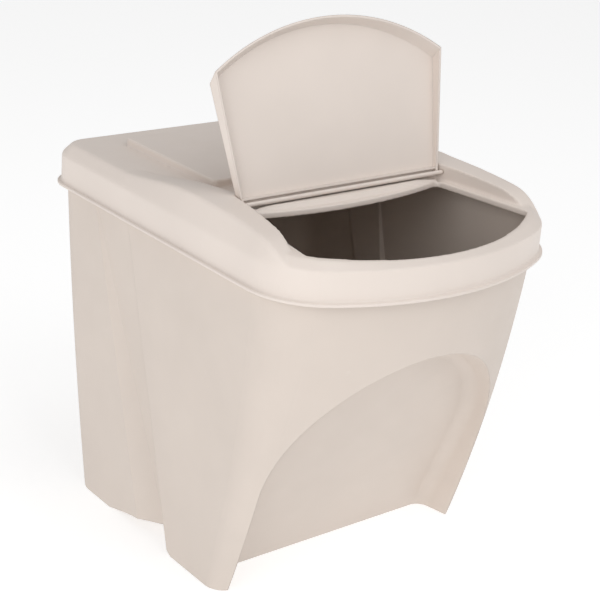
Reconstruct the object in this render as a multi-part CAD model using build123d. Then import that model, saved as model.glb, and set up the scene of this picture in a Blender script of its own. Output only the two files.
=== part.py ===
from build123d import *
import os
from math import atan2, cos, degrees, radians, sin, sqrt, tan

# Stackable front-access food bin: a tapered tub, a lift-off lid frame and a hinged flap.
# Millimetres. +Z up, the front faces -Y, +X to the right. The origin is on the floor,
# midway between the sides and midway between front and back of the lid's bead.

# ---------------------------------------------------------------- driving dimensions
WIDTH = 293.0
DEPTH = 392.0
FRONT_BOW = 239.0
FRONT_CORNER = 67.0
BACK_CORNER = 30.0

TUB_WALL = 2.5
TUB_TOP = 307.0
FLOOR_Z = 17.0
FLOOR_THICK = 2.5

LID_WALL = 2.2
BEAD_Z = 285.5
BEAD_HEIGHT = 3.0
SKIRT_INSET = 3.4
PANEL_Z = 322.0
RIM_Z = 334.0
LIP_Z = 317.0
SHOULDER = 9.0

PLATFORM_HALF = 92.0
PLATFORM_FRONT = 13.0
PLATFORM_BACK = 151.0
PLATFORM_RISE = 7.0
PLATFORM_CORNER = 5.0
PLATFORM_ROUND = 1.2

LEDGE_Z = 320.0
LEDGE_FLANGE = 3.0

HINGE_Y = -45.5
HINGE_Z = 327.0
STUB_RADIUS = 1.8
STUB_CLEARANCE = 0.05
OPEN_LEAN = 17.3
MOVING_GAP = 0.3

FLAP_THICK = 2.0
FLAP_HINGE_HALF = 105.2
FLAP_WIDE_HALF = 119.2
FLAP_CORNER_REACH = 107.0
FLAP_APEX_REACH = 142.4
FLAP_BOW = 230.0
PLATE_BOW = 199.0
FLAP_TOP_RISE = RIM_Z - HINGE_Z
FLANGE_AT_HINGE = 6.0
FLANGE_AT_FRONT = 13.0
FLANGE_FLARE = 5.6
FLAP_DEPTH = 14.0
BARREL_RADIUS = 1.9
HEEL_REACH = -1.0
WEB_REACH = 1.4
RIB_REACH = 3.6
RIB_THICK = 1.6
TRIM_END = 143.4

# Reach of construction shapes that only have to be larger than the bin.
FAR = 400.0
TALL = 4 * FAR


# ---------------------------------------------------------------- shared outline
def plan(half_width, back, front, bow, corner, back_corner):
    """Flat outline with straight sides and back, a bowed front and rounded corners."""
    side_front = front + bow - sqrt(bow**2 - half_width**2)
    rear = Polyline(
        (-half_width, side_front), (-half_width, back), (half_width, back), (half_width, side_front)
    )
    bowed = ThreePointArc((half_width, side_front), (0, front), (-half_width, side_front))
    face = make_face(rear + bowed)
    face = fillet(face.vertices().group_by(Axis.Y)[0], corner)
    return fillet(face.vertices().group_by(Axis.Y)[-1], back_corner)


def lid_plan(inset):
    """The lid's outline, moved inwards by inset from the bead."""
    return plan(
        WIDTH / 2 - inset,
        DEPTH / 2 - inset,
        -DEPTH / 2 + inset,
        FRONT_BOW - inset,
        FRONT_CORNER - inset,
        BACK_CORNER - inset,
    )


def side_profile(points):
    """A solid as wide as the whole bin, from a closed outline of (y, z) points."""
    outline = Plane.YZ * make_face(Polyline(*points, close=True))
    return extrude(outline, FAR, both=True)


# ---------------------------------------------------------------- tub
# Sections of the tub: height, back, front, bow, front corner, back corner.
TUB_SECTIONS = (
    (0.0, 149.5, -106.0, 370.0, 18.0, 26.0),
    (150.0, 173.5, -153.5, 300.0, 34.0, 27.0),
    (TUB_TOP, 189.6, -188.0, 228.0, 58.0, 28.0),
)
# Half widths at the same heights, in front of and behind the slanted crease of the sides.
FRONT_HALVES = (137.0, 138.5, 139.8)
REAR_HALVES = (123.5, 131.5, 139.8)
CREASE_FOOT_Y = -9.0
CREASE_SLOPE = 0.278
STEP_RUN = 7.0
RELIEF_OVERLAP = 5.0

SCOOP_FOOT_Y = -53.3
SCOOP_LEG_END = -39.0
SCOOP_LEAN = 20.8
SCOOP_DEPTH = 29.6
SCOOP_SPRING = 116.5
SCOOP_EDGE_HALF = 125.0
SCOOP_EDGE_RISE = 132.5
SCOOP_BACK_HALF = 119.0
SCOOP_BACK_RISE = 110.0
SCOOP_REACH = 36.0
SCOOP_ROUND = 13.0

NOTCH_POINTS = ((-22, -2), (-13, 1), (-5, 6), (1, 11), (20, 13), (46, 10), (70, 4.5), (94, -2))


def tub_form(inset, halves):
    """The tub's tapered body as a closed solid, its walls moved inwards by inset."""
    sections = []
    for (z, back, front, bow, corner, back_corner), half in zip(TUB_SECTIONS, halves):
        outline = plan(
            half - inset, back - inset, front + inset, bow - inset, corner - inset, back_corner - inset
        )
        sections.append(Pos(0, 0, z) * outline)
    return loft(sections)


def side_relief(inset):
    """The space behind the slanted crease of both side walls, where the rear part steps in."""
    foot = REAR_HALVES[0] - inset
    step_y = CREASE_FOOT_Y + STEP_RUN - inset
    lean = degrees(atan2(CREASE_SLOPE, 1))
    turn = degrees(atan2(STEP_RUN, FRONT_HALVES[0] - REAR_HALVES[0]))
    behind = Box(FAR, FAR, TALL, align=(Align.MIN, Align.MIN, Align.CENTER))
    crease = Pos(foot, step_y, 0) * Rot(-lean, 0, 0) * Rot(0, 0, -turn)
    outside = crease * Pos(-RELIEF_OVERLAP, 0, 0) * behind - tub_form(inset, REAR_HALVES)
    return outside + mirror(outside, about=Plane.YZ)


def arch(half, spring, rise, foot):
    """Upright slot outline with straight legs and an elliptical head."""
    head = EllipticalCenterArc((0, spring), half, rise, start_angle=0, arc_size=180)
    legs = Polyline((-half, spring), (-half, foot), (half, foot), (half, spring))
    return make_face(head + legs)


def scoop(inset):
    """The arched recess in the lower front: a leaning back wall with drafted sides."""
    lean = radians(SCOOP_LEAN)
    frame = Plane(origin=(0, SCOOP_FOOT_Y, 0), x_dir=(1, 0, 0), z_dir=(0, -cos(lean), -sin(lean)))
    grow = 1 + SCOOP_REACH / SCOOP_DEPTH
    front_half = SCOOP_BACK_HALF + (SCOOP_EDGE_HALF - SCOOP_BACK_HALF) * grow
    front_rise = SCOOP_BACK_RISE + (SCOOP_EDGE_RISE - SCOOP_BACK_RISE) * grow
    back = arch(SCOOP_BACK_HALF + inset, SCOOP_SPRING, SCOOP_BACK_RISE + inset, SCOOP_LEG_END)
    front = arch(front_half + inset, SCOOP_SPRING, front_rise + inset, SCOOP_LEG_END)
    sections = [frame * Pos(0, 0, -inset) * back, frame * Pos(0, 0, SCOOP_DEPTH + SCOOP_REACH) * front]
    body = loft(sections, ruled=True)
    back_wall = body.faces().sort_by(Axis(frame.origin, frame.z_dir))[0]
    edges = [edge for edge in back_wall.edges() if edge.center().Z > 0]
    return fillet(edges, SCOOP_ROUND + inset)


def bin_body():
    """The tub: thin walls all round, a raised floor, a notched skirt that stands on the ground."""
    outer = tub_form(0, FRONT_HALVES) - side_relief(0) - scoop(0)
    inner = tub_form(TUB_WALL, FRONT_HALVES) - side_relief(TUB_WALL) - scoop(TUB_WALL)
    slab = Box(FAR * 2, FAR * 2, FLOOR_THICK, align=(Align.CENTER, Align.CENTER, Align.MIN))
    tub = outer - inner + (inner & (Pos(0, 0, FLOOR_Z) * slab))
    curve = Spline(*NOTCH_POINTS)
    notch = make_face(curve + Line(NOTCH_POINTS[-1], NOTCH_POINTS[0]))
    return tub - extrude(Plane.YZ * notch, FAR, both=True)


# ---------------------------------------------------------------- lid frame
PANEL_FRONT_Y = -110.0
LIP_Y = -184.0
LIP_FALL = 14.0
# Side view of the lid's low top surface, and of the two rims beside the flap.
LOW_TOP = ((FAR, PANEL_Z), (PANEL_FRONT_Y, PANEL_Z), (LIP_Y, LIP_Z), (-FAR, LIP_Z - LIP_FALL))
RIM_POINTS = (
    (-20, RIM_Z),
    (-60, 333.4),
    (-98, 331.2),
    (-119, 327.5),
    (-131, 321.5),
    (-143, 314),
    (-156, 309),
)
# Stations of the ramp up to each rim: y, crest height, crest inset.
RAMP_STATIONS = ((104, 321, 12.4), (62, 324.5, 12.2), (20, 331, 11.3), (-20, RIM_Z, 10.5))
RAMP_INNER_X = 100.0
RAMP_UNDERCUT = 8.0
RIM_CREST_INSET = 10.5
RIM_HEEL_Z = 300.0
RIM_FOOT_Z = 312.4
POCKET_FRONT_Y = -32.0
POCKET_HALF_FRONT = 104.0
POCKET_HALF_BACK = 124.0
POCKET_BACK_Y = 110.0
POCKET_ROUND = 8.0

RECESS_BACK_Y = -36.0
RECESS_HALF_BACK = 107.2
RECESS_FRONT_Y = -125.0
RECESS_HALF_FRONT = 120.6
TROUGH_RADIUS = 8.3

LENS_HALF = 103.0
LENS_END_Y = -47.0
LENS_MID_Y = -54.5
LENS_RISE = 4.0

OPENING_BACK_Y = -60.0
OPENING_BACK_BOW = 398.0
OPENING_BACK_HALF = 103.0
OPENING_FRONT_Y = -184.0
OPENING_FRONT_BOW = 188.0
OPENING_FRONT_HALF = 117.0
OPENING_CORNER = 5.0
OPENING_FLANGE_THICK = 2.0

SEAT_Z = TUB_TOP + MOVING_GAP
SEAT_HEIGHT = 1.8
SEAT_START = 4.4
SEAT_REACH = 9.5

STUB_HALF = RECESS_HALF_BACK + LID_WALL
BEARING_HALF = STUB_HALF + LID_WALL

# Share of a face's normal that points up on a top surface, and how level a straight edge lies.
FACING_UP = 0.9
STRAIGHT = 1.0
# Keeps the wall of a 45 degree shoulder as thick as the walls beside it.
SHOULDER_SHRINK = 2 - sqrt(2)


def lid_form(inset):
    """The lid's closed outer form, its surfaces moved inwards by inset."""
    skirt = extrude(Pos(0, 0, BEAD_Z) * lid_plan(SKIRT_INSET + inset), FAR)
    low = [(y, z - inset) for y, z in LOW_TOP] + [(-FAR, 0), (FAR, 0)]
    base = skirt & side_profile(low)
    tops = [face for face in base.faces() if face.normal_at().Z > FACING_UP]
    top_edges = [edge for face in tops for edge in face.edges() if not is_across(edge)]
    base = chamfer(top_edges, SHOULDER - inset * SHOULDER_SHRINK)
    platform = Pos(0, (PLATFORM_FRONT + PLATFORM_BACK) / 2, PANEL_Z - SHOULDER) * Box(
        2 * (PLATFORM_HALF - inset),
        PLATFORM_BACK - PLATFORM_FRONT - 2 * inset,
        SHOULDER + PLATFORM_RISE - inset,
        align=(Align.CENTER, Align.CENTER, Align.MIN),
    )
    platform = fillet(platform.edges().filter_by(Axis.Z), PLATFORM_CORNER)
    platform = fillet(platform.faces().sort_by(Axis.Z)[-1].edges(), PLATFORM_ROUND)
    form = base + rims(inset) + platform
    return form - recess(inset)


def is_across(edge):
    """True for an edge that runs straight from side to side."""
    size = edge.bounding_box().size
    return size.Y < STRAIGHT and size.Z < STRAIGHT and size.X > WIDTH / 2


def ramp(inset):
    """The right-hand ramp that rises from the rear shoulder to the rim beside the flap."""
    sections = []
    outer = WIDTH / 2 - SKIRT_INSET - inset
    for y, crest_z, crest_inset in RAMP_STATIONS:
        corners = (
            (RAMP_INNER_X, RIM_HEEL_Z),
            (outer - RAMP_UNDERCUT, RIM_HEEL_Z),
            (outer, RIM_FOOT_Z - inset / 2),
            (WIDTH / 2 - crest_inset - inset, crest_z - inset),
            (RAMP_INNER_X, crest_z - inset),
        )
        station = Plane(origin=(0, y, 0), x_dir=(1, 0, 0), z_dir=(0, -1, 0))
        sections.append(station * make_face(Polyline(*corners, close=True)))
    return loft(sections)


def rims(inset):
    """The raised block that flanks the flap: rear ramps, level crest, stepped front."""
    heel = Pos(0, 0, RIM_HEEL_Z) * lid_plan(SKIRT_INSET + inset)
    shoulder = Pos(0, 0, RIM_FOOT_Z - inset / 2) * lid_plan(SKIRT_INSET + inset)
    crest = Pos(0, 0, RIM_Z - inset) * lid_plan(RIM_CREST_INSET + inset)
    block = loft([heel, shoulder, crest], ruled=True)
    front = [(y, z - inset) for y, z in RIM_POINTS]
    under = Polyline(front[-1], (front[-1][0], RIM_HEEL_Z), (front[0][0], RIM_HEEL_Z), front[0])
    outline = Spline(*front) + under
    profile = extrude(Plane.YZ * make_face(outline), FAR, both=True)
    right = ramp(inset)
    return (block & profile) + right + mirror(right, about=Plane.YZ) - pocket(inset)


def pocket(inset):
    """The sunken area behind the hinge, level with the rear panel."""
    front = POCKET_FRONT_Y - inset
    outline = make_face(
        Polyline(
            (-POCKET_HALF_FRONT - inset, front),
            (POCKET_HALF_FRONT + inset, front),
            (POCKET_HALF_BACK + inset, POCKET_BACK_Y),
            (-POCKET_HALF_BACK - inset, POCKET_BACK_Y),
            close=True,
        )
    )
    outline = fillet(outline.vertices().group_by(Axis.Y)[0], POCKET_ROUND)
    return extrude(Pos(0, 0, PANEL_Z - inset) * outline, FAR)


def hinge_rod(radius, half_length):
    """A round bar along the hinge axis."""
    return Pos(0, HINGE_Y, HINGE_Z) * Rot(0, 90, 0) * Cylinder(radius, 2 * half_length)


def recess(inset):
    """The sunken seat for the flap, with a leaning back wall and a trough under the hinge."""
    floor = LEDGE_Z - inset
    lean = tan(radians(OPEN_LEAN))
    back = RECESS_BACK_Y + inset + MOVING_GAP
    heel = (back - lean * (RIM_Z - floor), floor)
    side_view = [(-FAR, floor), heel, (back + lean * (FAR - RIM_Z), FAR), (-FAR, FAR)]
    widen = (RECESS_HALF_FRONT - RECESS_HALF_BACK) / (RECESS_BACK_Y - RECESS_FRONT_Y)
    near = RECESS_HALF_BACK + inset
    far = near + widen * (FAR + back)
    right = [(near, FAR), (near, back), (far, -FAR)]
    left = [(-x, y) for x, y in reversed(right)]
    trapezium = make_face(Polyline(*right, *left, close=True))
    seat = side_profile(side_view) & extrude(trapezium, FAR)
    return seat + hinge_rod(TROUGH_RADIUS + inset, near)


def hinge_fillet():
    """The lens-shaped step on the ledge that fills the corner below the flap's barrel."""
    front = ThreePointArc((-LENS_HALF, LENS_END_Y), (0, LENS_MID_Y), (LENS_HALF, LENS_END_Y))
    back = Polyline(
        (LENS_HALF, LENS_END_Y), (LENS_HALF, HINGE_Y), (-LENS_HALF, HINGE_Y), (-LENS_HALF, LENS_END_Y)
    )
    lens = extrude(Pos(0, 0, LEDGE_Z - LID_WALL / 2) * make_face(front + back), LENS_RISE + LID_WALL / 2)
    curve = lens.edges().group_by(Axis.Z)[-1].filter_by(GeomType.CIRCLE)
    lens = chamfer(curve, LENS_RISE - MOVING_GAP)
    return lens - hinge_rod(BARREL_RADIUS + MOVING_GAP, WIDTH / 2)


def opening(grow):
    """Outline of the feed opening, moved outwards by grow."""
    back_half = OPENING_BACK_HALF + grow
    front_half = OPENING_FRONT_HALF + grow
    back_bow = OPENING_BACK_BOW + grow
    front_bow = OPENING_FRONT_BOW + grow
    back_mid = OPENING_BACK_Y + grow
    front_mid = OPENING_FRONT_Y - grow
    back_end = back_mid + back_bow - sqrt(back_bow**2 - back_half**2)
    front_end = front_mid + front_bow - sqrt(front_bow**2 - front_half**2)
    back = ThreePointArc((-back_half, back_end), (0, back_mid), (back_half, back_end))
    front = ThreePointArc((front_half, front_end), (0, front_mid), (-front_half, front_end))
    right = Line((back_half, back_end), (front_half, front_end))
    left = Line((-front_half, front_end), (-back_half, back_end))
    face = make_face(back + front + right + left)
    return fillet(face.vertices(), OPENING_CORNER + grow)


def ring(z, height, outer_inset, inner_inset):
    """A band that follows the lid's outline between two insets."""
    outer = extrude(Pos(0, 0, z) * lid_plan(outer_inset), height)
    return outer - extrude(Pos(0, 0, z) * lid_plan(inner_inset), height)


def lid_frame():
    """The lift-off lid: shell, bead, flap seat, feed opening, tub seat and stub bearings."""
    outer = lid_form(0)
    lid = outer - lid_form(LID_WALL)
    bead = ring(BEAD_Z, BEAD_HEIGHT, 0, SKIRT_INSET + LID_WALL)
    flange = extrude(Pos(0, 0, LEDGE_Z - LID_WALL - LEDGE_FLANGE) * opening(OPENING_FLANGE_THICK), FAR)
    lid = lid + bead + (flange & outer) + ring(SEAT_Z, SEAT_HEIGHT, SEAT_START, SEAT_REACH)
    lid = lid + hinge_fillet() - extrude(Pos(0, 0, BEAD_Z) * opening(0), FAR)
    return lid - hinge_rod(STUB_RADIUS + STUB_CLEARANCE, BEARING_HALF)


# ---------------------------------------------------------------- flap
def flap_outline(narrow, heel, apex, bow):
    """Plan of the flap: sides that spread from the hinge and an arched far edge."""
    spread = (FLAP_WIDE_HALF - FLAP_HINGE_HALF) / FLAP_CORNER_REACH
    near = FLAP_HINGE_HALF - narrow + spread * heel
    far = FLAP_HINGE_HALF - narrow + spread * FAR
    wedge = make_face(Polyline((-near, -heel), (near, -heel), (far, -FAR), (-far, -FAR), close=True))
    return wedge & (Pos(0, bow - apex) * Circle(bow))


def flap_block(narrow, heel, drop):
    """Closed block of the flap from drop below its top face downwards, flaring at the far edge."""
    share = drop / FLAP_DEPTH
    apex = FLAP_APEX_REACH - FLANGE_FLARE * (1 - share) - narrow
    bow = PLATE_BOW + (FLAP_BOW - PLATE_BOW) * share - narrow
    top = flap_outline(narrow, heel, apex, bow)
    low = flap_outline(narrow, heel, FLAP_APEX_REACH - narrow, FLAP_BOW - narrow)
    sections = [Pos(0, 0, FLAP_TOP_RISE - drop) * top, Pos(0, 0, FLAP_TOP_RISE - FLAP_DEPTH) * low]
    return loft(sections, ruled=True)


def flap():
    """The hinged flap, built closed about its axis, then swung open and set on the hinge."""
    shell = flap_block(0, HEEL_REACH, 0) - flap_block(FLAP_THICK, RIB_REACH + RIB_THICK, FLAP_THICK)
    groove = Pos(0, -(WEB_REACH + RIB_REACH) / 2, FLAP_TOP_RISE - FLAP_THICK) * Box(
        2 * (FLAP_HINGE_HALF - FLAP_THICK),
        RIB_REACH - WEB_REACH,
        FLAP_DEPTH,
        align=(Align.CENTER, Align.CENTER, Align.MAX),
    )
    free_edge = (
        (BARREL_RADIUS, FLAP_TOP_RISE - FLANGE_AT_HINGE),
        (-TRIM_END, FLAP_TOP_RISE - FLANGE_AT_FRONT),
        (-TRIM_END, -FAR),
        (BARREL_RADIUS, -FAR),
    )
    shell = shell - groove - side_profile(free_edge)
    barrel = Rot(0, 90, 0) * Cylinder(BARREL_RADIUS, 2 * FLAP_HINGE_HALF)
    stubs = Rot(0, 90, 0) * Cylinder(STUB_RADIUS, 2 * STUB_HALF)
    closed = shell + barrel + stubs
    return Pos(0, HINGE_Y, HINGE_Z) * Rot(-90 - OPEN_LEAN, 0, 0) * closed


# ---------------------------------------------------------------- write the parts
os.makedirs("parts", exist_ok=True)
export_step(bin_body(), "parts/bin_body.step")
export_step(lid_frame(), "parts/lid_frame.step")
export_step(flap(), "parts/flap.step")
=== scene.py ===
import bpy
from math import cos, radians, sin
from mathutils import Matrix, Vector


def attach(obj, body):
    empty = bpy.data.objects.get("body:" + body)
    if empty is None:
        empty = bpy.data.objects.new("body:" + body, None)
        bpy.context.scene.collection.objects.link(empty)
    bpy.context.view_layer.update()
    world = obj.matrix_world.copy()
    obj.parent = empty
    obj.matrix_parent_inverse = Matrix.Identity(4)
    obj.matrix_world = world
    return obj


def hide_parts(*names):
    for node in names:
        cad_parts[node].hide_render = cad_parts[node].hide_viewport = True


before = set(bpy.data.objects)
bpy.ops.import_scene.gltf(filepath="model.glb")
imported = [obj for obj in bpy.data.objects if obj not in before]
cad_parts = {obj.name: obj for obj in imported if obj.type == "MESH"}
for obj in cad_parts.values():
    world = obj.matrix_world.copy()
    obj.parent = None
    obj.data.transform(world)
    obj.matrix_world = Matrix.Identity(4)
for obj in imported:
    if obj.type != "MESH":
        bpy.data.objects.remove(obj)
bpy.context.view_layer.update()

# Stackable pet food bin: tub, lift-off lid frame and hinged flap. Metres, in the CAD model's frame.
MM = 0.001

# ---------------------------------------------------------------- view
TARGET = Vector((7.8, 11.6, 204.7)) * MM
CAMERA_AZIMUTH = radians(-39.5)
CAMERA_HEIGHT = radians(21.8)
CAMERA_ROLL = radians(4.5)
CAMERA_DISTANCE = 1.3806
CAMERA_REACH = 100.0
LENS_MM = 93.16
SENSOR_MM = 36.0

# ---------------------------------------------------------------- colours, linear
WARM_STONE = (0.650, 0.572, 0.512)
WARM_STONE_LIGHT = (0.735, 0.655, 0.598)
SCUFF_TONE = (0.720, 0.650, 0.590)
WHITE = (1.0, 1.0, 1.0, 1.0)

# ---------------------------------------------------------------- plastic
PLASTIC_IOR = 1.49
PLASTIC_SPECULAR = 0.45
# Fine grain and gloss: the tub is more matte and more deeply grained than the lid and the flap.
TUB_GRAIN = 0.5
TUB_ROUGHNESS = 0.52
LID_GRAIN = 0.25
LID_ROUGHNESS = 0.42

# Pattern scales, in features per metre.
CLOUD_SCALE = 9.0
FLECK_SCALE = 900.0
SCUFF_SCALE = 60.0
MOTTLE_SCALE = 40.0
GRAIN_SCALE = 1600.0
RIPPLE_SCALE = 22.0

# How much of each pattern shows: the noise range that is used, and the strength it reaches.
CLOUD_RANGE = (0.35, 0.65)
PALE_CLOUD = 1.02
DEEP_CLOUD = 0.975
FLECK_RANGE = (0.62, 0.75)
FLECK_STRENGTH = 0.35
SCUFF_RANGE = (0.66, 0.80)
SCUFF_STRENGTH = 0.5
MOTTLE_RANGE = (0.3, 0.7)
SHINIER = 0.06
DULLER = 0.07

# Heights of the surface relief, and the radius that softens moulded edges.
GRAIN_HEIGHT = 0.0002
RIPPLE_HEIGHT = 0.0006
RIPPLE_STRENGTH = 0.25
EDGE_ROUND = 1.6 * MM
EDGE_SAMPLES = 6

# ---------------------------------------------------------------- softened lid
LID_VOXEL = 0.9 * MM
LID_KEEP = 0.35
RELAX_STEP = 0.5
# Relaxing passes over every edge, and over the shoulders and rims by weight.
EDGE_REPEATS = 1
SHOULDER_REPEATS = 45
# Distances from the frame's axes at which the softening starts and at which it is full.
ABOVE_BEAD = (0.296, 0.303)
OUTBOARD = (0.119, 0.124)
REAR_SHOULDER = (0.155, 0.165)
FRONT_LIP = (0.186, 0.190)
FRONT_QUARTER = (0.090, 0.150)
RAMP_CREST = (0.096, 0.102)
RAMP_TOP_START = (-0.024, -0.010)
FRONT_LIP_SHARE = 0.2
FRONT_QUARTER_LOSS = 0.6

# ---------------------------------------------------------------- studio
FLOOR_HALF = 40.0
FLOOR_TONE = (0.60, 0.60, 0.60, 1.0)
FLOOR_GLOW = 0.56
FLOOR_ROUGHNESS = 0.7
WORLD_STRENGTH = 0.5
# Square area lights: name, azimuth and height in degrees, distance, size, power in watts.
LIGHTS = (
    ("key", -66, 18, 2.2, 1.5, 15),
    ("fill", 4, 42, 2.4, 1.6, 14),
    ("top", 40, 72, 2.4, 1.2, 7),
)


# ---------------------------------------------------------------- material helpers
def node(tree, kind, **inputs):
    """Adds a node and sets its input sockets by name."""
    made = tree.nodes.new(kind)
    for name, value in inputs.items():
        made.inputs[name.replace("_", " ")].default_value = value
    return made


def noise(tree, place, scale, detail=4.0, roughness=0.55):
    """A noise pattern in object space, scale in features per metre."""
    made = node(tree, "ShaderNodeTexNoise", Scale=scale, Detail=detail, Roughness=roughness)
    tree.links.new(place, made.inputs["Vector"])
    return made.outputs["Fac"]


def remap(tree, value, source, to_low, to_high):
    """Maps a value's source range onto another one, clamped."""
    low, high = source
    made = node(
        tree, "ShaderNodeMapRange", From_Min=low, From_Max=high, To_Min=to_low, To_Max=to_high
    )
    tree.links.new(value, made.inputs["Value"])
    return made.outputs["Result"]


def blend(tree, factor, first, second):
    """Mixes two colours, each a plain colour or a socket, by a factor socket."""
    made = tree.nodes.new("ShaderNodeMix")
    made.data_type = "RGBA"
    tree.links.new(factor, made.inputs[0])
    for socket, colour in ((made.inputs[6], first), (made.inputs[7], second)):
        if isinstance(colour, tuple):
            socket.default_value = (*colour, 1.0)
        else:
            tree.links.new(colour, socket)
    return made.outputs[2]


def moulded_colour(tree, place, tone):
    """Flow clouds, fine flecks and light scuffs on one tone."""
    clouds = noise(tree, place, CLOUD_SCALE, detail=3.0)
    pale = tuple(min(1.0, channel * PALE_CLOUD) for channel in tone)
    deep = tuple(channel * DEEP_CLOUD for channel in tone)
    colour = blend(tree, remap(tree, clouds, CLOUD_RANGE, 0.0, 1.0), deep, pale)
    flecks = noise(tree, place, FLECK_SCALE, detail=2.0)
    colour = blend(tree, remap(tree, flecks, FLECK_RANGE, 0.0, FLECK_STRENGTH), colour, deep)
    scuffs = noise(tree, place, SCUFF_SCALE, detail=8.0, roughness=0.72)
    return blend(tree, remap(tree, scuffs, SCUFF_RANGE, 0.0, SCUFF_STRENGTH), colour, SCUFF_TONE)


def moulded_normal(tree, place, grain_depth):
    """Softened edges, spark-eroded grain on them, and the slow sink of a moulded wall."""
    edges = node(tree, "ShaderNodeBevel", Radius=EDGE_ROUND)
    edges.samples = EDGE_SAMPLES
    grain = noise(tree, place, GRAIN_SCALE, detail=2.0, roughness=0.6)
    bump = node(tree, "ShaderNodeBump", Strength=grain_depth, Distance=GRAIN_HEIGHT)
    tree.links.new(grain, bump.inputs["Height"])
    tree.links.new(edges.outputs["Normal"], bump.inputs["Normal"])
    ripple = noise(tree, place, RIPPLE_SCALE, detail=1.0)
    sink = node(tree, "ShaderNodeBump", Strength=RIPPLE_STRENGTH, Distance=RIPPLE_HEIGHT)
    tree.links.new(ripple, sink.inputs["Height"])
    tree.links.new(bump.outputs["Normal"], sink.inputs["Normal"])
    return sink.outputs["Normal"]


def moulded_plastic(name, tone, grain_depth, roughness):
    """Injection-moulded polypropylene with uneven gloss."""
    material = bpy.data.materials.new(name)
    material.use_nodes = True
    tree = material.node_tree
    shader = tree.nodes["Principled BSDF"]
    shader.inputs["IOR"].default_value = PLASTIC_IOR
    shader.inputs["Specular IOR Level"].default_value = PLASTIC_SPECULAR
    place = tree.nodes.new("ShaderNodeTexCoord").outputs["Object"]
    tree.links.new(moulded_colour(tree, place, tone), shader.inputs["Base Color"])
    mottling = noise(tree, place, MOTTLE_SCALE, detail=5.0)
    gloss = remap(tree, mottling, MOTTLE_RANGE, roughness - SHINIER, roughness + DULLER)
    tree.links.new(gloss, shader.inputs["Roughness"])
    tree.links.new(moulded_normal(tree, place, grain_depth), shader.inputs["Normal"])
    return material


def dress(mesh, material):
    """Gives a mesh one finish."""
    mesh.materials.clear()
    mesh.materials.append(material)


# ---------------------------------------------------------------- softened mouldings
def baked(piece):
    """Replaces a piece's mesh by the result of its modifiers."""
    bpy.context.view_layer.update()
    graph = bpy.context.evaluated_depsgraph_get()
    result = bpy.data.meshes.new_from_object(piece.evaluated_get(graph))
    piece.modifiers.clear()
    piece.data = result


def smoothed(piece, repeats, weights=None):
    """Relaxes the surface, everywhere or by a weight for each vertex."""
    step = piece.modifiers.new("relax", "SMOOTH")
    step.factor = RELAX_STEP
    step.iterations = repeats
    if weights is not None:
        group = piece.vertex_groups.new(name="relaxed")
        for vertex in piece.data.vertices:
            weight = weights(vertex.co)
            if weight > 0:
                group.add([vertex.index], weight, "REPLACE")
        step.vertex_group = group.name
    baked(piece)
    piece.vertex_groups.clear()


def softened(node_name, name, voxel, repeats, weights, keep):
    """A copy of a moulding with rounded edges, as its tool would leave them."""
    piece = bpy.data.objects.new(name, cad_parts[node_name].data.copy())
    bpy.context.collection.objects.link(piece)
    remesh = piece.modifiers.new("even", "REMESH")
    remesh.mode = "VOXEL"
    remesh.voxel_size = voxel
    baked(piece)
    smoothed(piece, EDGE_REPEATS)
    smoothed(piece, repeats, weights)
    thin = piece.modifiers.new("thin", "DECIMATE")
    thin.ratio = keep
    baked(piece)
    piece.data.shade_smooth()
    return piece


def ramp_between(value, low, high):
    """0 below low, 1 above high, straight in between."""
    return min(1.0, max(0.0, (value - low) / (high - low)))


def lid_weight(place):
    """Full on the lid's outer shoulders and rims, less at the front, none at the bead and the hinge."""
    above_bead = ramp_between(place.z, *ABOVE_BEAD)
    toward_front = 1 - FRONT_QUARTER_LOSS * ramp_between(-place.y, *FRONT_QUARTER)
    side = ramp_between(abs(place.x), *OUTBOARD) * toward_front
    rear = ramp_between(place.y, *REAR_SHOULDER)
    front = FRONT_LIP_SHARE * ramp_between(-place.y, *FRONT_LIP)
    ramp_top = ramp_between(abs(place.x), *RAMP_CREST) * ramp_between(place.y, *RAMP_TOP_START)
    return above_bead * max(side, rear, front, ramp_top)


def lid_shell(material):
    """The lid frame with large soft radii along its shoulders and rims."""
    piece = softened("lid_frame", "lid_shell", LID_VOXEL, SHOULDER_REPEATS, lid_weight, LID_KEEP)
    dress(piece.data, material)
    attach(piece, "lid")
    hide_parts("lid_frame")


# ---------------------------------------------------------------- studio
def lit_sweep():
    """The studio's pale, evenly back-lit floor material."""
    material = bpy.data.materials.new("studio_white")
    material.use_nodes = True
    shader = material.node_tree.nodes["Principled BSDF"]
    shader.inputs["Base Color"].default_value = FLOOR_TONE
    shader.inputs["Roughness"].default_value = FLOOR_ROUGHNESS
    shader.inputs["Emission Color"].default_value = WHITE
    shader.inputs["Emission Strength"].default_value = FLOOR_GLOW
    return material


def floor():
    """A pale floor that reaches the horizon."""
    mesh = bpy.data.meshes.new("studio_floor")
    half = FLOOR_HALF
    corners = [(-half, -half, 0), (half, -half, 0), (half, half, 0), (-half, half, 0)]
    mesh.from_pydata(corners, [], [(0, 1, 2, 3)])
    made = bpy.data.objects.new("studio_floor", mesh)
    bpy.context.collection.objects.link(made)
    mesh.materials.append(lit_sweep())


def direction(azimuth, height):
    """Unit vector from the bin towards an azimuth and a height in radians; azimuth 0 is the front."""
    return Vector((sin(azimuth) * cos(height), -cos(azimuth) * cos(height), sin(height)))


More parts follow.
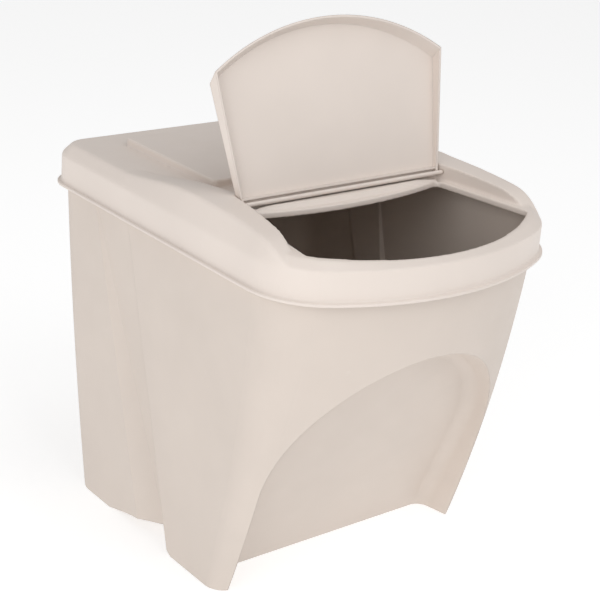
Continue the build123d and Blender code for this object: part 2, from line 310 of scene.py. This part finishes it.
def soft_light(name, azimuth, height, distance, size, power):
    """A square area light aimed at the bin from an azimuth and a height in degrees."""
    way = direction(radians(azimuth), radians(height))
    data = bpy.data.lights.new(name, "AREA")
    data.energy = power
    data.size = size
    lamp = bpy.data.objects.new(name, data)
    turn = way.to_track_quat("Z", "Y").to_matrix().to_4x4()
    lamp.matrix_world = Matrix.Translation(TARGET + way * distance) @ turn
    bpy.context.collection.objects.link(lamp)


def lights():
    """Soft, even studio light, strongest from the left and weakest from above, in a pale room."""
    for light in LIGHTS:
        soft_light(*light)
    world = bpy.data.worlds.new("studio")
    world.use_nodes = True
    background = world.node_tree.nodes["Background"]
    background.inputs["Color"].default_value = WHITE
    background.inputs["Strength"].default_value = WORLD_STRENGTH
    bpy.context.scene.world = world
    bpy.context.scene.view_settings.view_transform = "Standard"


def camera():
    """Looks down on the front left corner, tilted a little, as in a catalogue picture."""
    way = direction(CAMERA_AZIMUTH, CAMERA_HEIGHT)
    level_right = Vector((cos(CAMERA_AZIMUTH), sin(CAMERA_AZIMUTH), 0))
    level_up = way.cross(level_right)
    right = level_right * cos(CAMERA_ROLL) + level_up * sin(CAMERA_ROLL)
    up = level_up * cos(CAMERA_ROLL) - level_right * sin(CAMERA_ROLL)
    data = bpy.data.cameras.new("camera")
    data.lens = LENS_MM
    data.sensor_width = SENSOR_MM
    data.clip_end = CAMERA_REACH
    made = bpy.data.objects.new("camera", data)
    turn = Matrix((right, up, way)).transposed().to_4x4()
    made.matrix_world = Matrix.Translation(TARGET + way * CAMERA_DISTANCE) @ turn
    bpy.context.collection.objects.link(made)
    bpy.context.scene.camera = made


# ---------------------------------------------------------------- build
lid_satin = moulded_plastic("lid_satin", WARM_STONE_LIGHT, LID_GRAIN, LID_ROUGHNESS)
flap_satin = moulded_plastic("flap_satin", WARM_STONE_LIGHT, LID_GRAIN, LID_ROUGHNESS)
tub_grain = moulded_plastic("tub_grain", WARM_STONE, TUB_GRAIN, TUB_ROUGHNESS)
dress(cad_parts["bin_body"].data, tub_grain)
dress(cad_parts["lid_frame"].data, lid_satin)
dress(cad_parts["flap"].data, flap_satin)
lid_shell(lid_satin)
floor()
lights()
camera()
